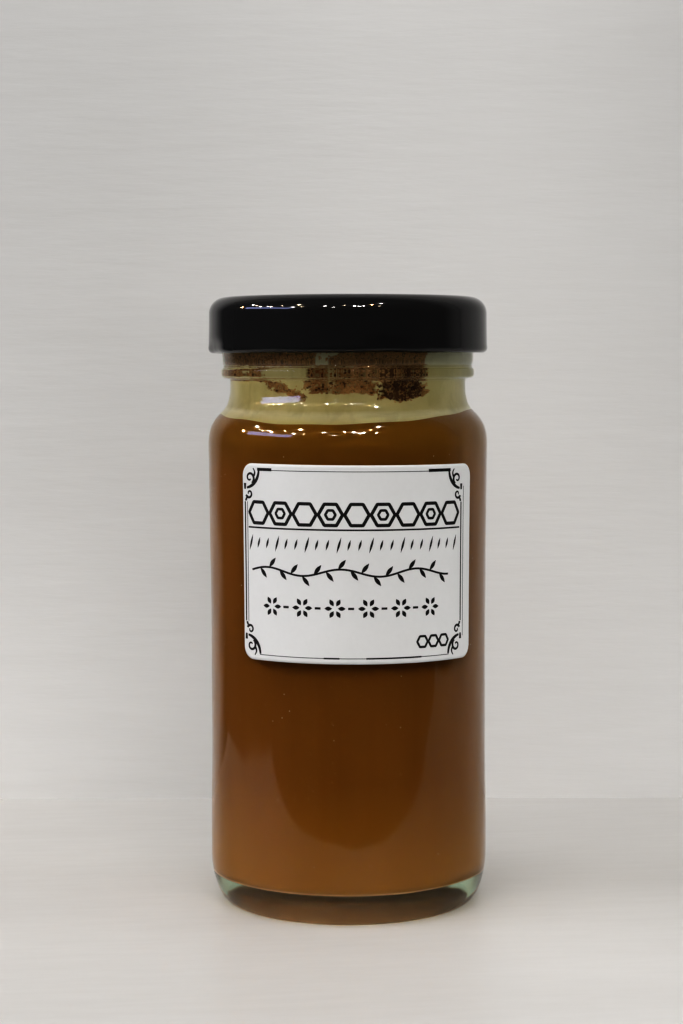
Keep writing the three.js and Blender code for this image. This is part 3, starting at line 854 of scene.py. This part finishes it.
def stroke(points, width):
    # a line of that width round a path: a ring of four corners at each point, capped at both ends
    points = np.asarray(points, float)
    width = np.broadcast_to(width, len(points))
    slope = np.gradient(points, axis=0)
    slope = slope / np.maximum(np.linalg.norm(slope, axis=1, keepdims=True), 1e-9)
    side = columns(-slope[:, 1], slope[:, 0]) * width[:, None] / 2
    left, right = (points + side).T, (points - side).T
    sink, lift = -printShape["sink"], printShape["ink"]
    rings = np.stack([onLabel(*left, sink), onLabel(*left, lift), onLabel(*right, lift), onLabel(*right, sink)], axis=1)
    end = (len(points) - 1) * 4
    caps = np.array([[0, 1, 2, 3], [end + 3, end + 2, end + 1, end]])
    return rings.reshape(-1, 3), np.concatenate([gridQuads(len(points), 4)[:, ::-1], caps])


def line(start, end, step=0.5):
    return spread(np.array([start, end], float), step)


def spiral(centre, inner, outer, start, end):
    # a curl whose radius grows evenly with its turn
    r = np.linspace(inner, outer, 48)
    return arc(centre, r, r, start, end, 48)


def hexagon(u, v, radius):
    # six sides, begun and ended half way along one so that the join doesn't show
    corners = arc((u, v), radius, radius, 0, 360, 7)
    start = (corners[:1] + corners[1:2]) / 2
    return spread(np.concatenate([start, corners[1:], start]), 0.12)


def leaf(start, angle, length, width):
    # a blade: its width is the sine of the way along it
    t = np.linspace(0, 1, 12)
    a = np.radians(angle)
    path = np.array(start) + length * t[:, None] * np.array([np.cos(a), np.sin(a)])
    return path, width * np.sin(np.pi * np.clip(t, 0.02, 0.98))


def cornerScroll(sideways, upright):
    # quarter ring across the corner, a curl inside it and a smaller one along the upright rule
    s = printShape
    corner = np.array([s["left"] if sideways > 0 else s["right"], s["top"] if upright < 0 else s["bottom"]])
    size, thick = s["scroll"], s["scrollLine"]
    t, ringT, curlT = np.linspace(0, 1, 40), np.linspace(0, 1, 30), np.linspace(0, 1, 48)
    shapes = [
        (arc((0, 0), size, size, 2, 82, 30), 0.8 + 0.5 * np.sin(np.pi * ringT)),
        (spiral((1.05, 1.35), 0.22, 0.95, 40, 420), 0.55 + 0.5 * curlT),
        (spiral((0.9, 3.75), 0.16, 0.72, 150, 520), 0.5 + 0.45 * curlT),
        (columns(1.75 + 0.35 * np.sin(np.pi * t), 1.2 - 1.35 * t), 1 - 0.6 * t),
        (columns(0.18 + 0.5 * t ** 2, 4.9 - 0.75 * t), 1.1 - 0.5 * t),
        (columns(0.0, 2.2 + 0.9 * t), 1.3 - 0.4 * t),
    ]
    return [(corner + np.array([sideways, upright]) * path, thick * width) for path, width in shapes]


def labelStrokes():
    s = printShape
    left, right, top, bottom, title = s["left"], s["right"], s["top"], s["bottom"], s["titleMiddle"]
    strokes = cornerScroll(1, -1) + cornerScroll(1, 1) + cornerScroll(-1, -1) + cornerScroll(-1, 1)
    reach, second = s["scroll"] - 0.1, right + s["secondRule"]
    # rules and dashes: start, end and width
    rules = [
        (left, bottom + 5.0, left, top - 5.0, s["rule"]),
        (left + 0.5, bottom + 5.0, left + 0.5, top - 5.0, s["fineRule"]),
        (right, bottom + 5.0, right, top - 5.0, s["rule"]),
        (second, bottom + 2.6, second, top - 2.6, s["fineRule"]),
        (left + reach + 2.4, top - 0.1, right - reach - 2.4, top - 0.1, s["fineRule"]),
        (left + reach, bottom, right - reach, bottom, s["fineRule"]),
        (left + reach - 0.2, top, left + reach + 2.5, top, s["dash"]),
        (right - reach - 4.2, top, right - reach + 0.2, top, s["dash"]),
        (-6.0, bottom, -3.6, bottom, s["dash"] * 0.5),
        (0.5, bottom, 9.5, bottom, s["dash"] * 0.5),
        (left + 0.7, title - 2.15, right - 0.4, title - 2.15, 0.24),
    ]
    strokes += [(line((u0, v0), (u1, v1)), width) for u0, v0, u1, v1, width in rules]
    # a row of honeycomb cells, every second one with a smaller cell in it, and ties between them
    radius, row = s["titleHeight"] / 2, title + 0.15
    middles = np.linspace(left + 0.9 + radius, right - 0.7 - radius, s["titleCells"])
    for i, u in enumerate(middles):
        strokes.append((hexagon(u, row, radius), s["titleLine"]))
        if i % 2:
            strokes.append((hexagon(u, row, radius * 0.42), s["titleLine"] * 0.8))
    for u in (middles[1:] + middles[:-1]) / 2:
        strokes.append((line((u - 0.22, row), (u + 0.22, row), 0.1), s["titleLine"]))
    # a row of slanted strokes, long and short
    for i, u in enumerate(np.linspace(left + 1.2, right - 1.6, s["fineRowCount"])):
        tall = 0.85 if i % 3 else 1.25
        strokes.append(leaf((u - 0.3, s["fineRow"] - tall), 74, 2 * tall, 0.34))
    # a waving stem with leaves on both sides
    u = np.linspace(left + 1.4, right - 3.0, 160)
    wave = s["sprigRow"] + 0.55 * np.sin((u - u[0]) / 1.9)
    strokes.append((columns(u, wave), 0.3))
    for i, at in enumerate(np.linspace(8, 150, 17).astype(int)):
        strokes.append(leaf((u[at], wave[at]), 52 if i % 2 else -52, 1.9, 0.62))
    # flowers of six petals between short dashes
    for i, u in enumerate(np.linspace(left + 5.2, right - 6.6, 6)):
        for k, start in enumerate(arc((u, s["flowerRow"]), 0.45, 0.45, 0, 300, 6)):
            strokes.append(leaf(start, 60 * k, 1.15, 0.62))
        if i < 5:
            strokes.append((line((u + 2.0, s["flowerRow"]), (u + 2.9, s["flowerRow"]), 0.2), 0.34))
    # three small cells low on the right
    return strokes + [(hexagon(right - 8.0 + 2.05 * k, s["cellsRow"], 0.95), 0.36) for k in range(3)]


def labelPrint(material):
    parts, faces, start = [], [], 0
    for path, width in labelStrokes():
        points, quads = stroke(path, width)
        parts.append(points)
        faces.append(quads + start)
        start += len(points)
    makePiece("label_print", np.concatenate(parts), material, "white_paper", np.concatenate(faces), smooth=False)


labelPaper(paperMaterial())
labelPrint(inkMaterial())
print("label made")


# ---- stage, lights and camera

stageShape = {
    "left": -165.0, "right": 300.0, "wallLeft": -142.0, "wallRight": 420.0, "front": -83.0, "back": 79.0,
    "wallTop": 420.0, "cove": 0.05, "far": 900.0,
}

# strokes stretch the brush marks, gloss is a thin varnish, fade is painted shade that darkens the far edge, pale is
# painted light that brightens the middle near the jar, and each end is painted shade that darkens by a share from one
# place to another
floorLook = {
    "tones": [(0.655, 0.638, 0.618), (0.715, 0.70, 0.682)], "strokes": (0.5, 3.0, 1), "gloss": 0.12, "fade": 0.06,
    "pale": 0.08, "ends": [(28, 70, 0.085)],
}
wallLook = {
    "tones": [(0.695, 0.689, 0.679), (0.742, 0.738, 0.731)], "strokes": (0.35, 1, 3.0), "gloss": 0.0, "fade": 0.0,
    "pale": 0.28, "ends": [(-74, -136, 0.8), (30, 80, 0.03), (240, 415, 0.3)],
}


def seenFrom(azimuth, elevation, distance, centre=(0, 0, 60)):
    # a place seen from the jar at an angle to the right of the camera's line and above the level, in mm
    a, e = np.radians(azimuth - labelTurn), np.radians(elevation)
    away = np.array([np.sin(a) * np.cos(e), -np.cos(a) * np.cos(e), np.sin(e)])
    return np.array(centre, float) + away * distance


def stageSheet(name, profile, left, right, material):
    # a profile of (depth, height) drawn out sideways, turned to face the camera
    across = np.linspace(left, right, 12)
    x, y, z = np.broadcast_arrays(across[:, None], profile[:, 0], profile[:, 1])
    a = np.radians(-labelTurn)
    points = columns(x * np.cos(a) - y * np.sin(a), x * np.sin(a) + y * np.cos(a), z)
    faces = gridQuads(*x.shape, closed=False)[:, [0, 3, 2, 1]]
    return makePiece(name, points.reshape(-1, 3), material, None, faces)


def stageMaterial(name, look):
    place = newMaterial(name)
    black = (0.0, 0.0, 0.0)
    brush = noise(place, 160.0, 4.0, 0.6, stretch=look["strokes"])
    broad = noise(place, 7.0, 3.0, 0.55, stretch=look["strokes"])
    colour = ramp(broad * 0.7 + brush * 0.3, (0.35, look["tones"][0]), (0.65, look["tones"][1]))
    # painted shade towards the far edge, by the wall
    colour = mix(fade(axis(place, "Y"), 0.03, 0.078, look["fade"]), colour, black)
    # painted shade, darker higher up the wall
    colour = mix(fade(axis(place, "Z"), 0.03, 0.14, 0.085), colour, black)
    across = axis(place, "X")
    # painted light near the jar, brightening the jar's own shadow
    paintedLightNearJar = fade(abs(across - 0.028), 0.07, 0.008, look["pale"], "SMOOTHSTEP")
    colour = mix(paintedLightNearJar, colour, (0.90, 0.89, 0.88))
    # painted shade towards the ends
    for start, stop, share in look["ends"]:
        colour = mix(fade(across, start * mm, stop * mm, share, "SMOOTHSTEP"), colour, black)
    front = place.node("BsdfPrincipled", None, {
        "Base Color": colour, "Roughness": 0.5, "Specular IOR Level": 0.25, "Coat Weight": look["gloss"],
        "Coat Roughness": 0.16, "Normal": bump(brush, 0.25, 0.0003),
    })
    # clear from behind
    clear = place.node("BsdfTransparent")
    behind = place.node("NewGeometry", output="Backfacing")
    return finishMaterial(place, place.node("MixShader", None, {0: behind, 1: front, 2: clear}))


def makeStage():
    s = stageShape
    back, cove, far = s["back"], s["cove"], s["far"]
    floorPaint, wallPaint = stageMaterial("palePaint", floorLook), stageMaterial("paleWall", wallLook)
    floorLine = columns([s["front"], -40, 0, 40, back - cove], 0.0)
    curve = arc((back - cove, cove), cove, cove, -90, 0, 8)
    wallLine = columns(back, [60, 160, s["wallTop"]])
    stageSheet("floor", np.concatenate([floorLine, curve[1:4]]), s["left"], s["right"], floorPaint)
    stageSheet("wall", np.concatenate([curve[3:], wallLine]), s["wallLeft"], s["wallRight"], wallPaint)
    # the rest of the floor shows to the camera alone, so that the glass still mirrors the table's edge
    apron = stageSheet("floor_apron", columns([-far, s["front"]], -0.05), -far, far, floorPaint)
    apron.visible_glossy = apron.visible_transmission = apron.visible_diffuse = False


amber, warm, white = (1.0, 0.62, 0.3), (1.0, 0.82, 0.6), (1.0, 0.96, 0.92)

# azimuth and elevation from the camera's line, distance, size, power and colour
softLights = {
    "overhead": (-8, 50, 1200, (1300, 1100), 6.2, (1.0, 0.99, 0.975)),
    "frontFill": (14, 6, 1100, (700, 240), 0.8, (1.0, 0.985, 0.965)),
    "leftFill": (-80, 24, 1100, (800, 520), 2.6, (0.95, 0.965, 1.0)),
    "rightFill": (98, 20, 1100, (560, 420), 2.1, (0.97, 0.99, 1.0)),
}
windowLight = (-71, 21.5, 1100, (880, 140), 2.1, (0.52, 0.58, 1.0))
# azimuth, elevation, power and colour of each small lamp, found from where its glint lies on the shoulder
ceilingSpots = [
    (-101, 21.5, 3.4, amber), (-95, 33.5, 2.0, white), (-88, 31, 0.8, warm), (-81, 27.5, 1.6, warm),
    (-74, 29.5, 0.9, white), (-69.5, 27.5, 2.0, warm), (-60, 33, 0.7, warm), (-48, 26.5, 2.2, white),
    (-46, 39, 3.8, warm), (-40, 28, 0.8, warm), (-20, 33, 1.0, white), (-12, 25, 0.6, white), (-3, 36, 0.6, warm),
    (5.8, 34, 3.8, white), (9.5, 30.5, 1.6, white), (13.9, 33, 1.4, white), (22.5, 41, 2.8, amber),
    (28, 32, 0.6, warm), (35, 50, 3.6, white),
]


def addLight(name, place, size, power, colour, glint=False):
    # a lamp aimed at the jar: a glint is seen in reflections alone, any other one lights matt surfaces alone
    light = bpy.data.lights.new(name, "AREA")
    light.shape = "RECTANGLE" if len(size) == 2 else "DISK"
    light.size, light.size_y = size[0] * mm, size[-1] * mm
    light.energy, light.color = power, colour
    lamp = addObject(name, light)
    lamp.location = Vector(place) * mm
    lamp.rotation_euler = (Vector((0, 0, 50)) * mm - lamp.location).to_track_quat("-Z", "Y").to_euler()
    lamp.visible_camera = lamp.visible_transmission = False
    lamp.visible_glossy, lamp.visible_diffuse = glint, not glint


def makeLights():
    addLight("window", seenFrom(*windowLight[:3]), *windowLight[3:], glint=True)
    for name, values in softLights.items():
        addLight(name, seenFrom(*values[:3]), *values[3:])
    for i, (azimuth, elevation, power, colour) in enumerate(ceilingSpots):
        addLight(f"ceilingSpot{i}", seenFrom(azimuth, elevation, 1800, (0, 0, 78)), (48,), power, colour, glint=True)


def makeWorld():
    # soft light from all round for matt surfaces; mirrors see a dim room in front and a paler one behind
    world = bpy.data.worlds.new("studio")
    scene.world = world
    world.use_nodes = True
    world.node_tree.nodes.clear()
    way = addNode(world.node_tree, "TexCoord", output="Generated")
    turned = way.node("Mapping", {"vector_type": "POINT"}, {
        "Vector": way, "Rotation": (0, 0, np.radians(labelTurn))})
    room = ramp(axis(turned, "Y") * 0.5 + 0.5, (0.0, (0.045, 0.044, 0.042)), (0.47, (0.055, 0.054, 0.052)),
                (0.62, (0.28, 0.275, 0.27)), (1.0, (0.36, 0.355, 0.35)))
    room = mix(fade(axis(turned, "X") * -1.0, 0.55, 0.8), room, (0.07, 0.07, 0.072))
    soft = ramp(axis(turned, "Z") * 0.5 + 0.5, (0.4, (0.13, 0.13, 0.13)), (0.75, (0.245, 0.245, 0.245)),
                (1.0, (0.27, 0.27, 0.268)))
    shown = mix(way.node("LightPath", output="Is Diffuse Ray"), room, soft)
    shown = mix(way.node("LightPath", output="Is Camera Ray"), shown, (0.60, 0.59, 0.58))
    background = way.node("Background", None, {"Color": shown, "Strength": 1.0})
    way.node("OutputWorld", None, {"Surface": background})


cameraPlace = {
    "distance": 350.7, "height": 86.6, "pitch": 3.944, "yaw": 0.173, "roll": 0.15, "lens": 76.99,
}


def makeCamera():
    s = cameraPlace
    camera = bpy.data.cameras.new("camera")
    camera.lens, camera.sensor_width = s["lens"], 36.0
    camera.clip_start, camera.clip_end = 0.01, 20.0
    scene.camera = addObject("camera", camera)
    place = seenFrom(0, 0, s["distance"], (0, 0, s["height"]))
    turns = [(s["yaw"] - labelTurn, "Z"), (90 - s["pitch"], "X"), (-s["roll"], "Z")]
    matrix = Matrix.Translation(Vector(place) * mm)
    for degrees, name in turns:
        matrix = matrix @ Matrix.Rotation(np.radians(degrees), 4, name)
    scene.camera.matrix_world = matrix


makeStage()
makeLights()
makeWorld()
makeCamera()
scene.view_settings.view_transform = "Standard"
scene.view_settings.look = "Very High Contrast"
print("stage, lights and camera made")
